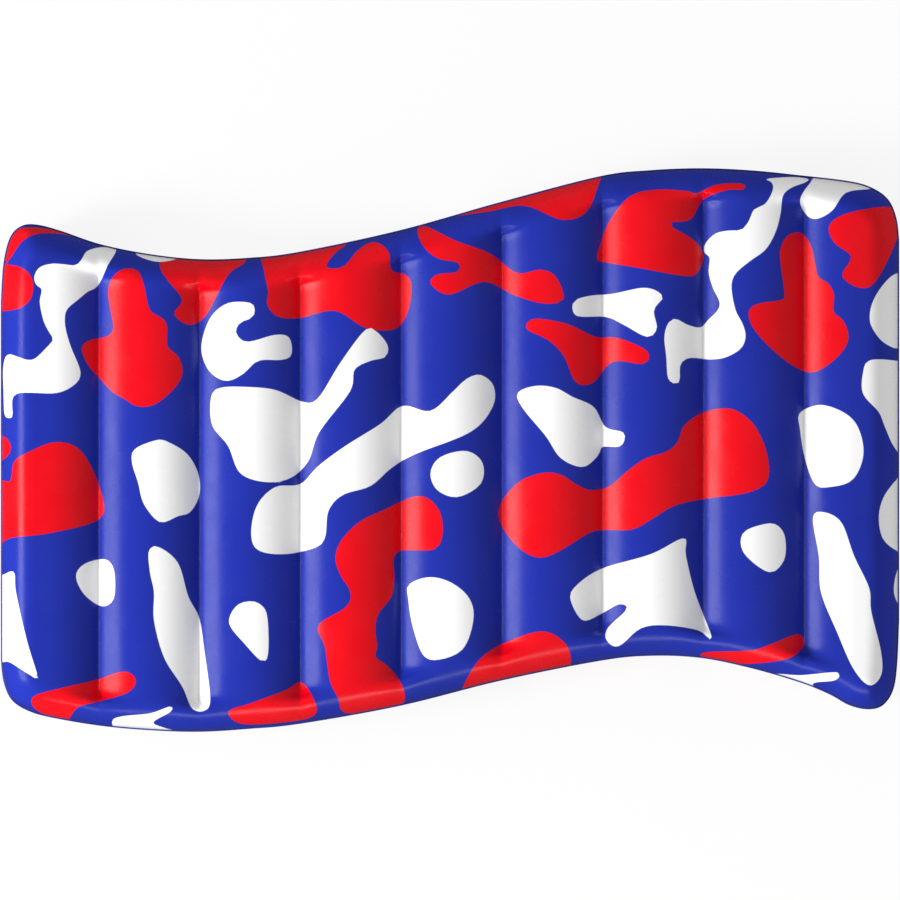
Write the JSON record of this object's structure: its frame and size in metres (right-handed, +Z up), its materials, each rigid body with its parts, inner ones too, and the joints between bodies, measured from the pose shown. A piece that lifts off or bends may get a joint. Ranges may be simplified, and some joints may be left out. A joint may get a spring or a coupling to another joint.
{
  "type": "towable inflatable mat",
  "caption": "Flat air mat with side-by-side channels, a slow S-shaped plan, a screw valve low in one end and a hanging D-ring for a tow rope.",
  "frame": {"origin": "on the floor, below the middle of the plan box", "axes": "+X along the mat to its right end, +Y to the back edge, +Z up"},
  "size_m": [1.798, 1.128, 0.2],
  "materials": {
    "printed_vinyl": "glossy flexible vinyl, blue with red and white printed patches",
    "seam_vinyl": "pressed weld line in blue vinyl",
    "web_vinyl": "plain milky vinyl strip",
    "patch_vinyl": "plain blue vinyl, glued down",
    "valve_plastic": "moulded flexible plastic, satin",
    "tether_plastic": "moulded soft plastic, satin",
    "seal_rubber": "matt black rubber",
    "webbing": "woven polyester webbing",
    "ring_steel": "polished stainless wire"
  },
  "bodies": {
    "mat": {"top_skin": "printed_vinyl", "bottom_skin": "printed_vinyl", "perimeter_seam": "seam_vinyl", "web_1": "web_vinyl", "web_2": "web_vinyl", "web_3": "web_vinyl", "web_4": "web_vinyl", "web_5": "web_vinyl", "web_6": "web_vinyl", "web_7": "web_vinyl", "web_8": "web_vinyl", "valve_base": "valve_plastic", "tow_patch": "patch_vinyl", "tow_loop": "webbing"},
    "seal": {"insert_seal": "seal_rubber"},
    "insert": {"valve_insert": "valve_plastic", "valve_flap": "seal_rubber", "cap_tether": "tether_plastic"},
    "tether_end": {"tether_ring": "tether_plastic"},
    "cap": {"valve_cap": "valve_plastic"},
    "ring": {"tow_ring": "ring_steel"}
  },
  "joints": [
    {"name": "insert_lift", "type": "slide", "parent": "mat", "child": "seal", "axis": [-0.766, 0, -0.6428], "range_m": [0, 0.006]},
    {"name": "insert_turn", "type": "hinge", "parent": "seal", "child": "insert", "pos_m": [-0.8726, -0.06, 0.03526], "axis": [-0.766, 0, -0.6428], "range_deg": [0, 720]},
    {"name": "cap_lift", "type": "slide", "parent": "insert", "child": "tether_end", "axis": [-0.766, 0, -0.6428], "range_m": [0, 0.006]},
    {"name": "cap_turn", "type": "hinge", "parent": "tether_end", "child": "cap", "pos_m": [-0.8726, -0.06, 0.03526], "axis": [-0.766, 0, -0.6428], "range_deg": [0, 720]},
    {"name": "tow_ring_swing", "type": "hinge", "parent": "mat", "child": "ring", "pos_m": [0.00136, -0.48128, 0.05583], "axis": [-0.9669, -0.2553, 0], "range_deg": [-25, 150]}
  ],
  "couplings": [
    {"joint": "insert_lift", "follows": "insert_turn", "m_per_rad": 0.00047746},
    {"joint": "cap_lift", "follows": "cap_turn", "m_per_rad": 0.00047746}
  ]
}
